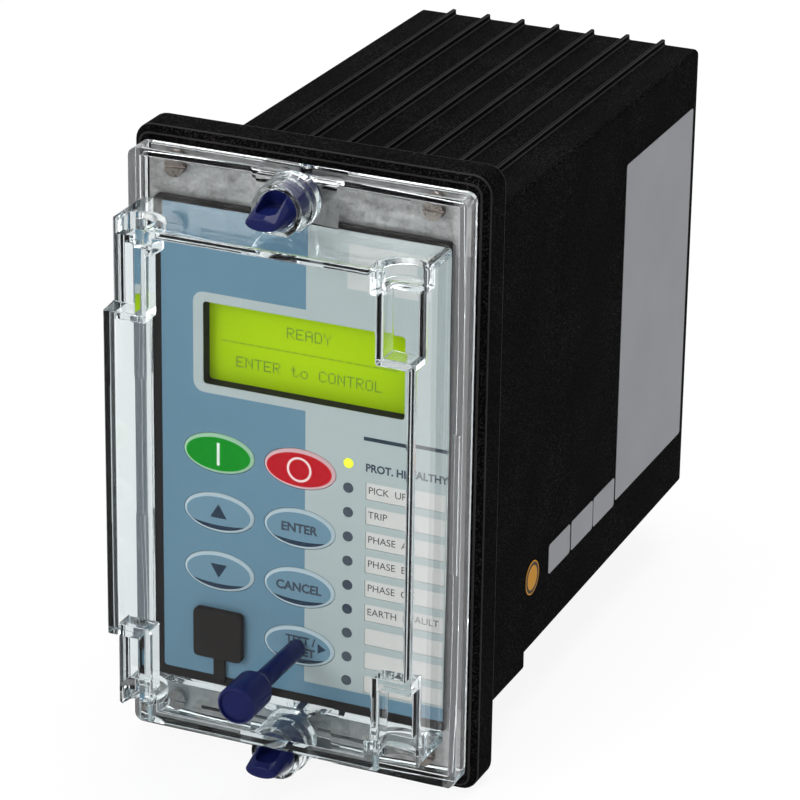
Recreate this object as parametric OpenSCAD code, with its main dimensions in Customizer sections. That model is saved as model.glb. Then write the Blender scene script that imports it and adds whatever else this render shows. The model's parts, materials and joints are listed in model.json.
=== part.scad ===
// Panel-mounted protection relay: a moulded case with a withdrawable chassis, a keypad
// fascia with a display, and a clear cover held by two pull latches.
// Front faces -Y and +Z is up. The origin is the centre of the flange's rear face.

/* [Panel flange] */
// Width of the flange that seats on the panel
flange_w = 102; // [100:0.5:108]
// Height of the flange
flange_h = 177; // [175:0.5:188]
// Thickness of the flange
flange_t = 12.5; // [12:0.5:15]
// Corner radius of the flange
flange_r = 5; // [4:0.5:8]
// Chamfer round the flange's front edge
flange_chamfer = 2; // [0.5:0.5:3]
// Chamfer round the flange's rear edge
flange_rear_chamfer = 1; // [0.5:0.25:1.5]
// Distance between fixing holes, across
fix_x = 52; // [44:1:60]
// Distance between fixing holes, up
fix_z = 168; // [165:0.5:169]
// Diameter of the blind fixing holes
fix_d = 3.3; // [2.5:0.1:3.6]
// Depth of the blind fixing holes
fix_depth = 8; // [5:0.5:9]

/* [Case body] */
// Width of the body at its rear end
body_w = 89; // [88:0.5:92]
// Height of the body at its rear end
body_h = 138.6; // [136:0.2:140]
// Height of the body's centre above the flange's centre
body_z = 1.8; // [1:0.1:2.4]
// Depth of the body behind the panel
body_d = 163.4; // [160:0.2:190]
// Draft of each side wall, in degrees
draft = 0.5; // [0:0.1:0.6]
// Thickness of the side walls
wall = 2.5; // [2:0.1:2.8]
// Thickness of the rear wall
rear_t = 3; // [2:0.5:5]
// Radius of the body's long edges
body_r = 1.5; // [1:0.25:3]
// Width of the collar that locates in the panel's cut-out
collar_w = 95; // [94:0.5:97]
// Height of the collar
collar_h = 145.2; // [144:0.2:147]
// Depth of the collar
collar_d = 30; // [15:1:40]
// Number of stiffening ribs on the top wall
rib_n = 7; // [3:1:11]
// Width of a rib
rib_w = 1.2; // [0.8:0.1:2]
// Height of a rib
rib_h = 1.6; // [0.8:0.1:2]

/* [Chassis] */
// Thickness of the chassis sheet
sheet_t = 1; // [0.8:0.1:1.5]
// Width of a chassis plate
plate_w = 90; // [84:0.5:90.5]
// Reach of the chassis rails behind the panel
rail_d = 122; // [110:1:130]
// Gap between a rail and the case wall
rail_gap = 0.4; // [0.2:0.1:0.8]
// Distance between the two screws of a plate
plate_screw_x = 74; // [60:1:80]
// Diameter of the chassis screws
plate_screw_d = 3; // [2.5:0.5:4]

/* [Fascia] */
// Width of the fascia frame
fascia_w = 86; // [85.6:0.2:90]
// Height of the fascia frame
fascia_h = 141; // [140:0.5:142]
// Thickness of the fascia frame
fascia_t = 2; // [1.8:0.1:2.6]
// Width of the frame's border at the sides
border_x = 2; // [1.2:0.2:2.2]
// Width of the frame's border at the top and bottom
border_z = 3; // [1.5:0.25:3.5]
// Thickness of the printed overlay
overlay_t = 0.3; // [0.2:0.05:0.4]
// Depth of the recess that takes the overlay
overlay_recess = 0.4; // [0.4:0.05:0.6]

/* [Display] */
// Width of the display opening
lcd_w = 58.8; // [50:0.2:60]
// Height of the display opening
lcd_h = 23.6; // [18:0.2:24.4]
// Sideways place of the display's centre
lcd_x = 0.8; // [-3:0.1:3]
// Height of the display's centre
lcd_z = 31.4; // [30.5:0.1:38]
// Depth of the display behind the fascia frame
lcd_recess = 2.3; // [0.5:0.1:3]
// How far the display module reaches past its opening
lcd_lap = 3.2; // [2:0.1:3.6]

/* [Keys] */
// Width of an oval key
key_w = 21; // [17:0.5:21.5]
// Height of an oval key
key_h = 11.5; // [9:0.5:13]
// Sideways place of the left key column
key_x = -23.9; // [-25:0.1:-23.5]
// Distance between the key columns
key_pitch_x = 24; // [23.6:0.2:25]
// Height of the first key row
key_z = 0; // [-1:0.1:1]
// Distance between the key rows
key_pitch_z = 17.5; // [16:0.1:17.6]
// How far a key stands out of the overlay
key_rise = 0.6; // [0.4:0.1:0.8]
// Travel of a key
key_travel = 0.4; // [0.2:0.05:0.4]

/* [Indicators] */
// Number of indicator lamps
led_n = 10; // [6:1:10]
// Diameter of a lamp
led_d = 2.8; // [2:0.1:3]
// Sideways place of the lamp column
led_x = 14.2; // [13.8:0.1:15]
// Height of the first lamp
led_z = 4.4; // [3:0.1:6]
// Distance between the lamps
led_pitch = 7.14; // [6:0.02:7.2]
// Width of a legend window
legend_w = 20.8; // [14:0.2:21]
// Height of a legend window
legend_h = 5; // [3.5:0.1:5.4]
// Sideways place of the legend windows' centre
legend_x = 29.7; // [28.5:0.1:30]

/* [Service port] */
// Sideways place of the service port
port_x = -23.6; // [-26:0.1:-22]
// Height of the service port's centre
port_z = -53.4; // [-54:0.1:-52.8]
// Side of the square dust cap
cap_size = 14.6; // [13.5:0.1:15]
// Thickness of the dust cap
cap_t = 2.2; // [1.5:0.1:3]
// Width of the dust cap's strap
strap_w = 3.4; // [2.5:0.1:5]
// Thickness of the dust cap's strap
strap_t = 1.2; // [0.8:0.1:1.5]

/* [Clear cover] */
// Width of the cover's rim
rim_w = 96.5; // [96:0.1:97.5]
// Height of the cover's rim
rim_h = 168.6; // [168:0.2:171]
// Distance of the rim's front from the panel
rim_front = 20.5; // [19.5:0.1:22]
// Corner radius of the rim
rim_r = 2.5; // [1:0.25:4]
// Height of the cover's centre above the flange's centre
cover_z = 0.6; // [0:0.1:1]
// Width of the raised box
box_w = 89; // [87:0.2:90]
// Height of the raised box
box_h = 142; // [141:0.2:143]
// Distance of the box's lower level from the panel
level_a = 36.5; // [34:0.1:38]
// Distance of the box's front from the panel
level_b = 42.9; // [41:0.1:46]
// Thickness of the cover's walls
cover_wall = 2.5; // [2:0.1:2.7]
// Width of a corner pocket in the box's front
pocket_w = 9.2; // [8:0.1:11]
// Height of a corner pocket
pocket_h = 24; // [20:0.5:28]
// Radius of the half-round notch at the end of a pocket
notch_r = 5.6; // [4:0.1:5.8]
// Depth of the half-round notch
notch_depth = 5; // [3:0.25:6]

/* [Latches] */
// Distance of a chassis screw's row from the box's end
latch_rise = 7.5; // [7.3:0.1:7.6]
// Drop of both latches below that row
latch_drop = 1; // [0:0.1:1.1]
// Diameter of the latch head
latch_d = 10.8; // [10:0.2:11.2]
// Thickness of the clear barrel round a latch head
barrel_wall = 1.5; // [1:0.1:1.8]
// Distance of the barrel's mouth from the panel
barrel_front = 31.5; // [30:0.5:33]
// Distance of the latch head's lip from the panel
latch_front = 41; // [40:0.2:42]
// Diameter of the latch stem
stem_d = 3.6; // [3:0.2:3.8]
// Pull of a latch
latch_travel = 3; // [2:0.1:3]
// Width of the finger scoop in a latch head
scoop_w = 6; // [5:0.2:6.8]

/* [Reset rod] */
// Diameter of the rod
rod_d = 5.4; // [4:0.2:6]
// Diameter of the rod's head
rod_head_d = 10.8; // [9:0.2:13]
// Length of the rod's head
rod_head_l = 12; // [8:0.5:16]
// Gap between the rod's head and the cover
rod_head_gap = 1.4; // [1:0.1:3]

/* [Circuit boards] */
// Thickness of a circuit board
board_t = 1.6; // [1.2:0.1:2]
// Depth of the space between the fascia frame and the front board
board_space = 8.9; // [8.6:0.1:10]
// Gap between the front board and the case's side walls
board_gap = 2.4; // [2:0.1:3]
// Sideways place of the main board
main_board_x = 14; // [12:0.5:16]
// Sideways place of the power board
power_board_x = -18; // [-20:0.5:-16]
// Distance of the upright boards' front edge from the panel
board_y = 4; // [2:0.5:8]
// Length of the upright boards
board_l = 112; // [104:1:114]

/* [Terminals] */
// Width of a terminal block
block_w = 36; // [34:0.5:38]
// Height of a terminal block
block_h = 116; // [110:0.5:118]
// Distance of a block's centre from the middle
block_x = 20.5; // [20:0.1:22]
// Depth of a terminal block behind the case
block_d = 15; // [12:0.5:18]
// Thickness of a block's base
block_base = 6; // [4.5:0.5:7]
// Thickness of the fins between terminals
fin_t = 1.6; // [1.2:0.1:2]
// Rows of current terminals
ct_rows = 6; // [4:1:7]
// Rows of control terminals
control_rows = 10; // [6:1:12]
// Diameter of the current terminal screws
ct_screw_d = 5; // [4:0.5:6]
// Diameter of the control terminal screws
control_screw_d = 3.5; // [3:0.5:4]
// Diameter of the earth stud
earth_d = 4; // [3:0.5:5]
// Free length of the earth stud
earth_l = 9; // [6:0.5:14]

/* [Hidden] */
$fn = 48;

// Gaps: pieces that move past each other, pieces that are only fitted, and cutting overlap
run_gap = 0.3;
fit_gap = 0.1;
over = 1;
eps = 0.01;
arc_n = 6;
soft_r = 1;
frame_r = 1.5;

// Depths of the front stack, all along Y
plate_y = -flange_t;
frame_back = plate_y - sheet_t;
frame_front = frame_back - fascia_t;
overlay_back = frame_front + overlay_recess;
overlay_front = overlay_back - overlay_t;
board_front = frame_back + board_space;
board_back = board_front + board_t;

// The body tapers towards its rear by the draft on each wall
function half_w(y) = body_w / 2 + (body_d - y) * tan(draft);
function half_h(y) = body_h / 2 + (body_d - y) * tan(draft);

// Chassis rails lie just inside the case's top and bottom walls
rail_top = body_z + half_h(rail_d) - wall - rail_gap;
rail_bottom = body_z - half_h(rail_d) + wall + rail_gap;
plate_gap = 0.6;
plate_lap = 0.4;
notch_open = 8;
slot_l = 25;
slot_w = 0.9;
slot_x = 17.5;
plate_reach = rim_h / 2 - cover_wall - plate_gap;
slot_edge = 1.8;
slot_reach = plate_reach - slot_edge;
latch_reach = box_h / 2 + latch_rise;
function latch_z(side) = cover_z - latch_drop + side * latch_reach;
fascia_z = cover_z;
overlay_w = fascia_w - 2 * border_x;
overlay_h = fascia_h - 2 * border_z;
chassis_screw_l = 6;

// Columns and rows of the keypad, and the gap round a key
function key_place(column, row) = [key_x + column * key_pitch_x, key_z - row * key_pitch_z];
keys = [[0, 0], [1, 0], [0, 1], [0, 2], [1, 1], [1, 2], [1, 3]];
key_front = overlay_front - key_rise;
key_gap = 0.15;
key_skirt = 0.8;
key_skirt_t = 1.5;
dome_t = 0.7;
dome_d = 8;
plunger_d = 4;
key_crown = 0.9;
reset_place = key_place(1, 3);
led_hole_d = led_d + 2 * fit_gap;
led_flange = 0.5;
led_shoulder = 1;

// Circuit boards stand in guides between the two chassis rails
guide_h = 4;
guide_w = 5;
groove = 3;
board_top = rail_top - sheet_t - (guide_h - groove);
board_bottom = rail_bottom + sheet_t + (guide_h - groove);
board_mid = (board_top + board_bottom) / 2;
post_d = 5;
front_board_w = 2 * (half_w(board_back) - wall - board_gap);
post_edge = 3.5;
post_reach = 60;
post_x = front_board_w / 2 - post_edge;
post_z = [board_mid - post_reach, board_mid + post_reach];
pilot_d = 2.2;
board_screw_l = 4;
guide_stop = 4;

// Service port and its dust cap
port_w = 12;
port_h = 11;
port_mouth_w = 8.6;
port_mouth_h = 7.9;
port_tongue = [5.6, 3.2];
port_back_t = 1.5;
port_shell_front = overlay_front;
cap_back = overlay_front - run_gap;
cap_plug_depth = 2;
strap_edge = 2.2;
strap_bead = 1;
strap_end = fascia_z - fascia_h / 2 + strap_edge;

// Terminal blocks stand on the rear wall, with a tail through it
tail_edge = 4;
tail_l = 10;
tail_end = body_d - rear_t - tail_l;
earth_edge = 6.5;
earth_z = body_z - body_h / 2 + earth_edge;
earth_shoulder = 0.2;
earth_shank_d = earth_d + 2 * earth_shoulder;
earth_head_d = 1.8 * earth_d;
earth_head_t = 2;
nut_t = 3.2;
nut_af = 7;
nut_room = 0.5;

// Cover, latches and rod
rim_back = -flange_t - run_gap;
bore_d = latch_d + 2 * run_gap;
barrel_d = bore_d + 2 * barrel_wall;
barrel_step = 0.5;
barrel_base = 1;
barrel_floor = rim_front + barrel_base;
stem_hole_d = stem_d + 2 * run_gap;
stem_reach = 1.5;
stem_tip = plate_y + stem_reach;
stem_pocket = 4;
stop_ring = 1.8;
stop_d = stem_d + 2 * stop_ring;
stop_t = 0.8;
stop_gap = 0.2;
stop_flat = rim_h / 2 - cover_wall - latch_reach - latch_drop - 2 * run_gap;
stop_front = cover_wall - rim_front + latch_travel + stop_gap;
rod_hole_d = rod_d + 2 * run_gap;
rod_tip = key_front - run_gap;
rod_head_back = -level_b - rod_head_gap;

// Sheet and slab along Y, from a back face to a front face
module slab(back, front)
    translate([0, back, 0]) rotate([90, 0, 0]) linear_extrude(back - front) children();

module round_bar(x, z, d, back, front)
    translate([x, back, z]) rotate([90, 0, 0]) cylinder(d = d, h = back - front);

module block(x, y, z)
    translate([x[0], y[0], z[0]]) cube([x[1] - x[0], y[1] - y[0], z[1] - z[0]]);

function corner(x, z, r, start) =
    [for (i = [0:arc_n]) [x + r * cos(start + 90 * i / arc_n), z + r * sin(start + 90 * i / arc_n)]];

module rounded(w, h, r)
    polygon(concat(
        corner(w / 2 - r, h / 2 - r, r, 0), corner(r - w / 2, h / 2 - r, r, 90),
        corner(r - w / 2, r - h / 2, r, 180), corner(w / 2 - r, r - h / 2, r, 270)));

module oval(w, h) polygon([for (a = [0:9:351]) [w / 2 * cos(a), h / 2 * sin(a)]]);

module at(place) translate([place[0], place[1]]) children();

// Moulded case
module flange_solid()
    hull() {
        slab(0, -eps)
            rounded(flange_w - 2 * flange_rear_chamfer, flange_h - 2 * flange_rear_chamfer,
                    flange_r - flange_rear_chamfer);
        slab(-flange_rear_chamfer, flange_chamfer - flange_t) rounded(flange_w, flange_h, flange_r);
        slab(eps - flange_t, -flange_t)
            rounded(flange_w - 2 * flange_chamfer, flange_h - 2 * flange_chamfer, flange_r - flange_chamfer);
    }

module body_taper(front, rear, inset, r)
    translate([0, 0, body_z]) hull() {
        slab(front + eps, front) rounded(2 * (half_w(front) - inset), 2 * (half_h(front) - inset), r);
        slab(rear, rear - eps) rounded(2 * (half_w(rear) - inset), 2 * (half_h(rear) - inset), r);
    }

module top_ribs()
    for (i = [1:rib_n])
        translate([half_w(body_d) * (2 * i / (rib_n + 1) - 1), body_d, body_z + half_h(body_d)])
            rotate([-draft, 0, 0])
                translate([-rib_w / 2, collar_d - body_d, -wall / 2])
                    cube([rib_w, body_d - collar_d, rib_h + wall / 2]);

module case_shell()
    color("#161616") difference() {
        union() {
            flange_solid();
            translate([0, 0, body_z])
                slab(collar_d, -flange_rear_chamfer) rounded(collar_w, collar_h, body_r);
            body_taper(-flange_rear_chamfer, body_d, 0, body_r);
            top_ribs();
        }
        body_taper(-flange_t - over, body_d - rear_t, wall, body_r);
        for (side = [-1, 1])
            translate([side * block_x, 0, body_z])
                slab(body_d + over, body_d - rear_t - over) square(tail_size(fit_gap), center = true);
        round_bar(0, earth_z, earth_shank_d + 2 * fit_gap, body_d + over, body_d - rear_t - over);
        for (x = [-1, 1], z = [-1, 1])
            round_bar(x * fix_x / 2, z * fix_z / 2, fix_d, over, -fix_depth);
        for (z = [-1, 1]) {
            round_bar(0, latch_z(z), stem_hole_d, plate_y + stem_pocket, plate_y - over);
            for (x = [-1, 1])
                round_bar(x * plate_screw_x / 2, cover_z + z * latch_reach, plate_screw_d + 2 * fit_gap,
                          plate_y + chassis_screw_l + run_gap, plate_y - over);
        }
    }

// Withdrawable chassis: two folded plates and their screws
module chassis_plate(side, rail) {
    inner = rail - side * sheet_t;
    lap = inner - side * plate_lap;
    outer = cover_z + side * plate_reach;
    difference() {
        union() {
            block([-plate_w / 2, plate_w / 2], [frame_back, plate_y], [min(lap, outer), max(lap, outer)]);
            block([-post_x, post_x], [plate_y - sheet_t / 2, rail_d], [min(inner, rail), max(inner, rail)]);
        }
        round_bar(0, latch_z(side), stem_hole_d, plate_y + over, frame_back - over);
        translate([0, 0, latch_z(side) + side * notch_open / 2])
            slab(plate_y + over, frame_back - over) square([stem_d, notch_open], center = true);
        for (x = [-1, 1]) {
            round_bar(x * plate_screw_x / 2, cover_z + side * latch_reach, plate_screw_d + 2 * fit_gap,
                      plate_y + over, frame_back - over);
            translate([x * slot_x, 0, cover_z + side * slot_reach])
                slab(plate_y + over, frame_back - over) square([slot_l, slot_w], center = true);
        }
    }
}

module chassis_top() color("#9b9b99") chassis_plate(1, rail_top);
module chassis_bottom() color("#9b9b99") chassis_plate(-1, rail_bottom);

head_ratio = 1.9;
head_depth_ratio = 0.62;

module pan_screw(x, z, d, seat, length) {
    head_d = head_ratio * d;
    head_t = head_depth_ratio * d;
    slot = d / 8;
    difference() {
        union() {
            round_bar(x, z, head_d, seat, seat - head_t);
            round_bar(x, z, d, seat + length, seat - eps);
        }
        block([x - head_d, x + head_d], [seat - head_t - over, seat - head_t / 2], [z - slot, z + slot]);
    }
}

module chassis_screws()
    color("#b9b4ae")
        for (x = [-1, 1], z = [-1, 1])
            pan_screw(x * plate_screw_x / 2, cover_z + z * latch_reach, plate_screw_d, frame_back,
                      chassis_screw_l + sheet_t);

// Fascia: frame, printed overlay and legend card
module front_holes() {
    at([lcd_x, lcd_z]) rounded(lcd_w, lcd_h, soft_r);
    for (k = keys) at(key_place(k[0], k[1])) oval(key_w + 2 * key_gap, key_h + 2 * key_gap);
    for (i = [0:led_n - 1]) at([led_x, led_z - i * led_pitch]) circle(d = led_hole_d);
    at([port_x, port_z]) square([port_w + 2 * fit_gap, port_h + 2 * fit_gap], center = true);
}

module lcd_outline()
    at([lcd_x, lcd_z]) square([lcd_w + 2 * lcd_lap, lcd_h + 2 * lcd_lap], center = true);

legend_top = led_z - led_pitch / 2;
legend_bottom = led_z - (led_n - 0.5) * led_pitch;
card_lap = 0.6;
card_w = legend_w + 2 * card_lap;
card_t = 0.5;

module fascia_frame()
    color("#191717") {
        difference() {
            union() {
                translate([0, 0, fascia_z])
                    slab(frame_back, frame_front) rounded(fascia_w, fascia_h, frame_r);
                slab(frame_back + lcd_recess, frame_back - eps) lcd_outline();
            }
            translate([0, 0, fascia_z])
                slab(overlay_back, frame_front - over) rounded(overlay_w, overlay_h, soft_r);
            slab(frame_back + lcd_recess + over, frame_front - over) front_holes();
            block([legend_x - card_w / 2, legend_x + card_w / 2],
                  [overlay_back - over, overlay_back + card_t], [legend_bottom, legend_top]);
        }
        for (x = [-1, 1], z = post_z)
            difference() {
                round_bar(x * post_x, z, post_d, board_front, frame_back - eps);
                round_bar(x * post_x, z, pilot_d, board_front + over, frame_back + over);
            }
    }

module fascia_overlay()
    color("#67889b") difference() {
        translate([0, 0, fascia_z])
            slab(overlay_back, overlay_front)
                rounded(overlay_w - 2 * fit_gap, overlay_h - 2 * fit_gap, soft_r);
        slab(overlay_back + over, overlay_front - over) {
            front_holes();
            for (i = [1:led_n - 1])
                at([legend_x, led_z - i * led_pitch]) square([legend_w, legend_h], center = true);
        }
    }

module legend_card()
    color("#cdcbc8")
        block([legend_x - card_w / 2 + fit_gap, legend_x + card_w / 2 - fit_gap],
              [overlay_back, overlay_back + card_t], [legend_bottom + fit_gap, legend_top - fit_gap]);

module lcd_module() color("#a3c800") slab(board_front, frame_back + lcd_recess) lcd_outline();

module lamp(i) {
    z = led_z - i * led_pitch;
    round_bar(led_x, z, led_d + 2 * led_flange, board_front, frame_back + led_shoulder);
    round_bar(led_x, z, led_d, board_front, overlay_front);
}

module healthy_led() color("#d8f000") lamp(0);
module alarm_leds() color("#3d4a58") for (i = [1:led_n - 1]) lamp(i);

// Keys slide in the frame's oval holes, each over its own snap dome
module key_cap(column, row) {
    place = key_place(column, row);
    skirt_front = frame_back + run_gap;
    translate([place[0], 0, place[1]]) {
        slab(skirt_front + key_skirt_t, skirt_front) oval(key_w + 2 * key_skirt, key_h + 2 * key_skirt);
        hull() {
            slab(skirt_front, overlay_front) oval(key_w, key_h);
            slab(key_front + eps, key_front) oval(key_w - 2 * key_crown, key_h - 2 * key_crown);
        }
        round_bar(0, 0, plunger_d, board_front - dome_t - key_travel - fit_gap, skirt_front);
    }
}

module start_key() color("#00961a") key_cap(0, 0);
module stop_key() color("#c8202d") key_cap(1, 0);
module up_key() color("#6f93a6") key_cap(0, 1);
module down_key() color("#6f93a6") key_cap(0, 2);
module enter_key() color("#6f93a6") key_cap(1, 1);
module cancel_key() color("#6f93a6") key_cap(1, 2);
module reset_key() color("#6f93a6") key_cap(1, 3);

module key_domes()
    color("#c9c9c4")
        for (k = keys) {
            place = key_place(k[0], k[1]);
            translate([place[0], board_front, place[1]]) rotate([90, 0, 0])
                cylinder(d1 = dome_d, d2 = dome_d / 2, h = dome_t);
        }

module front_board()
    color("#1f5a3a") difference() {
        block([-front_board_w / 2, front_board_w / 2], [board_front, board_back], [board_bottom, board_top]);
        for (x = [-1, 1], z = post_z)
            round_bar(x * post_x, z, pilot_d + 2 * run_gap, board_back + over, board_front - over);
    }

module board_screws()
    color("#b9b4ae")
        for (x = [-1, 1], z = post_z)
            translate([x * post_x, board_back, z]) rotate([-90, 0, 0]) {
                cylinder(d = head_ratio * pilot_d, h = head_depth_ratio * pilot_d);
                translate([0, 0, -board_t - board_screw_l])
                    cylinder(d = pilot_d, h = board_t + board_screw_l + eps);
            }

// Service port with its rubber dust cap
module usb_socket()
    color("#a8a8a6") translate([port_x, 0, port_z]) {
        difference() {
            slab(board_front, port_shell_front) square([port_w, port_h], center = true);
            slab(board_front - port_back_t, port_shell_front - over)
                rounded(port_mouth_w, port_mouth_h, soft_r);
        }
        slab(board_front - port_back_t + eps, overlay_front + cap_plug_depth + over)
            square(port_tongue, center = true);
    }

module usb_cap()
    color("#1b1a1a") {
        translate([port_x, 0, port_z]) {
            slab(cap_back, cap_back - cap_t) rounded(cap_size, cap_size, frame_r);
            slab(cap_back + cap_plug_depth, cap_back - eps)
                rounded(port_mouth_w - 2 * run_gap, port_mouth_h - 2 * run_gap, soft_r - run_gap);
        }
        block([port_x - strap_w / 2, port_x + strap_w / 2], [cap_back - strap_t, cap_back],
              [strap_end, port_z - cap_size / 2 + over]);
        translate([port_x, cap_back - strap_t / 2, strap_end]) rotate([0, 90, 0])
            cylinder(d = strap_bead, h = strap_w, center = true);
    }

// Upright boards in their guides, and what they carry
module guide(x, side, rail) {
    inner = rail - side * sheet_t;
    tip = inner - side * guide_h;
    floor_z = inner - side * (guide_h - groove);
    difference() {
        block([x + (board_t - guide_w) / 2, x + (board_t + guide_w) / 2],
              [board_y, board_y + board_l - guide_stop], [min(inner, tip), max(inner, tip)]);
        block([x - fit_gap, x + board_t + fit_gap], [board_y - over, board_y + board_l],
              [min(floor_z, tip - side * over), max(floor_z, tip - side * over)]);
    }
}

module board_guides()
    color("#e4e2dc")
        for (x = [main_board_x, power_board_x]) {
            guide(x, 1, rail_top);
            guide(x, -1, rail_bottom);
        }

module upright_board(x)
    block([x, x + board_t], [board_y, board_y + board_l], [board_bottom, board_top]);

module main_board() color("#1f5a3a") upright_board(main_board_x);
module power_board() color("#1f5a3a") upright_board(power_board_x);

chip_face = main_board_x + board_t;
chip_run = 14;
chip_y = board_y + chip_run;
chip_rise = 4;
processor_size = [2.2, 26, 26];
memory_size = [1.6, 18, 8];
memory_n = 3;
memory_pitch = 14;

module processor_chips()
    color("#202124") translate([chip_face, chip_y, board_mid]) {
        translate([0, 0, chip_rise]) cube(processor_size);
        for (i = [1:memory_n])
            translate([0, (processor_size[1] - memory_size[1]) / 2, -memory_pitch * i]) cube(memory_size);
    }

relay_size = [15, 19, 11];
relay_n = 7;
relay_pitch = 15;
relay_inset = 34;
relay_y = board_y + board_l - relay_inset;

module output_relays()
    color("#2b2d33")
        for (i = [0:relay_n - 1])
            translate([power_board_x - relay_size[0], relay_y,
                       board_mid + relay_pitch * (i - (relay_n - 1) / 2) - relay_size[2] / 2])
                cube(relay_size);

winding_size = [18, 28, 26];
yoke_size = [3, 14, 32];
transformer_run = 48;
transformer_rise = 19;
transformer_y = board_y + transformer_run;
transformer_z = board_mid + transformer_rise;

module power_transformer()
    color("#c2a24a") translate([power_board_x, transformer_y, transformer_z]) {
        translate([-winding_size[0], -winding_size[1] / 2, -winding_size[2] / 2]) cube(winding_size);
        block([-winding_size[0] - yoke_size[0], eps - winding_size[0]],
              [-yoke_size[1] / 2, yoke_size[1] / 2], [-yoke_size[2] / 2, yoke_size[2] / 2]);
    }

can_d = 14;
can_l = 20;
can_pitch = 18;
can_run = 42;
can_drop = 24;
can_y = board_y + can_run;
can_z = board_mid - can_drop;

module smoothing_capacitors()
    color("#22304a")
        for (i = [0, 1])
            translate([power_board_x, can_y + can_pitch * i, can_z]) rotate([0, -90, 0])
                cylinder(d = can_d, h = can_l);

// Current transformers: a window core with its winding on the far limb
ct_n = 4;
ct_gap = 4;
ct_edge = 3;
ct_room = rail_top - rail_bottom - 2 * (sheet_t + guide_h + ct_edge);
ct_size = (ct_room - (ct_n - 1) * ct_gap) / ct_n;
ct_pitch = ct_size + ct_gap;
ct_limb = 7;
ct_depth = 12;
ct_inset = 44;
ct_y = board_y + board_l - ct_inset;
ct_wire = 3;
ct_wire_gap = 0.5;
function ct_mid(i) = board_mid + ct_pitch * (i - (ct_n - 1) / 2);

module ct_cores()
    color("#565a60")
        for (i = [0:ct_n - 1])
            translate([main_board_x - ct_depth, ct_y, ct_mid(i) - ct_size / 2]) difference() {
                cube([ct_depth, ct_size, ct_size]);
                translate([-over, ct_limb, ct_limb])
                    cube([ct_depth + 2 * over, ct_size - 2 * ct_limb, ct_size - 2 * ct_limb]);
            }

module ct_windings()
    color("#b06a33")
        for (i = [0:ct_n - 1])
            translate([main_board_x - ct_depth, ct_y, ct_mid(i)]) difference() {
                translate([-ct_wire, -ct_wire, ct_wire_gap - ct_size / 2 + ct_limb])
                    cube([ct_depth + ct_wire - ct_wire_gap, ct_limb + 2 * ct_wire,
                          ct_size - 2 * ct_limb - 2 * ct_wire_gap]);
                translate([-fit_gap, -fit_gap, -ct_size / 2])
                    cube([ct_depth + 2 * fit_gap + over, ct_limb + 2 * fit_gap, ct_size]);
            }

connector_w = 8;
connector_lap = 10;
front_connector_h = 36;
rear_connector_h = 60;

module front_connector()
    color("#30353a")
        block([main_board_x - connector_w, main_board_x], [board_back, board_y + connector_lap],
              [board_mid - front_connector_h / 2, board_mid + front_connector_h / 2]);

module rear_connectors()
    color("#30353a")
        for (x = [main_board_x + board_t, power_board_x + board_t])
            block([x, x + connector_w], [board_y + board_l - connector_lap, tail_end],
                  [board_mid - rear_connector_h / 2, board_mid + rear_connector_h / 2]);

// Rear terminals: barrier blocks, their screws and the earth stud
function tail_size(gap) = [block_w - 2 * tail_edge + 2 * gap, block_h - 2 * tail_edge + 2 * gap];
function cell_pitch(rows) = (block_h - fin_t) / rows;
function cell_z(row, rows) = body_z + block_h / 2 - fin_t / 2 - (row + 0.5) * cell_pitch(rows);
screw_column = block_w / 4;
seat_y = body_d + block_base;
terminal_floor = 2;
terminal_l = block_base - terminal_floor;

module terminal_block(x, rows, screw_d)
    difference() {
        translate([x, 0, body_z]) {
            slab(seat_y, body_d) rounded(block_w, block_h, frame_r);
            slab(body_d + eps, tail_end) square(tail_size(0), center = true);
            for (i = [0:rows])
                translate([0, 0, block_h / 2 - fin_t / 2 - i * cell_pitch(rows)])
                    slab(body_d + block_d, seat_y - eps) square([block_w, fin_t], center = true);
        }
        for (row = [0:rows - 1], side = [-1, 1])
            round_bar(x + side * screw_column, cell_z(row, rows), screw_d + 2 * fit_gap, seat_y + over,
                      seat_y - terminal_l - fit_gap);
        round_bar(0, earth_z, nut_af / cos(30) + 2 * nut_room, body_d + block_d + over, body_d - over);
    }

module terminal_screws(x, rows, d)
    for (row = [0:rows - 1], side = [-1, 1])
        translate([x + side * screw_column, 0, cell_z(row, rows)]) mirror([0, 1, 0])
            pan_screw(0, 0, d, -seat_y, terminal_l);

module ct_terminal_block() color("#141414") terminal_block(block_x, ct_rows, ct_screw_d);
module control_terminal_block() color("#141414") terminal_block(-block_x, control_rows, control_screw_d);
module ct_screws() color("#c6c1b4") terminal_screws(block_x, ct_rows, ct_screw_d);
module control_screws() color("#c6c1b4") terminal_screws(-block_x, control_rows, control_screw_d);

module earth_stud()
    color("#b99a4b") {
        round_bar(0, earth_z, earth_head_d, body_d - rear_t, body_d - rear_t - earth_head_t);
        round_bar(0, earth_z, earth_shank_d, body_d + nut_t, body_d - rear_t - eps);
        round_bar(0, earth_z, earth_d, body_d + nut_t + earth_l, body_d + nut_t - eps);
    }

module earth_nut()
    color("#b99a4b") translate([0, 0, earth_z]) slab(body_d + nut_t, body_d) difference() {
        circle(d = nut_af / cos(30), $fn = 6);
        circle(d = earth_shank_d + 2 * fit_gap);
    }

// Clear cover: a rim tray, a raised box stepped back at its corners, and two latch barrels
module stepped(w, h)
    difference() {
        square([w, h], center = true);
        for (x = [-1, 1], z = [-1, 1])
            translate([x * w / 2, z * h / 2]) square([2 * pocket_w, 2 * pocket_h], center = true);
    }

notch_edge = 0.8;
notch_x = box_w / 2 - notch_r - notch_edge;

module notches(extra)
    for (x = [-1, 1], z = [-1, 1])
        translate([x * notch_x, -level_a, z * (box_h / 2 - notch_depth / 2 + over / 2)])
            cylinder(r = notch_r + extra, h = notch_depth + over + 2 * extra, center = true);

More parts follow.
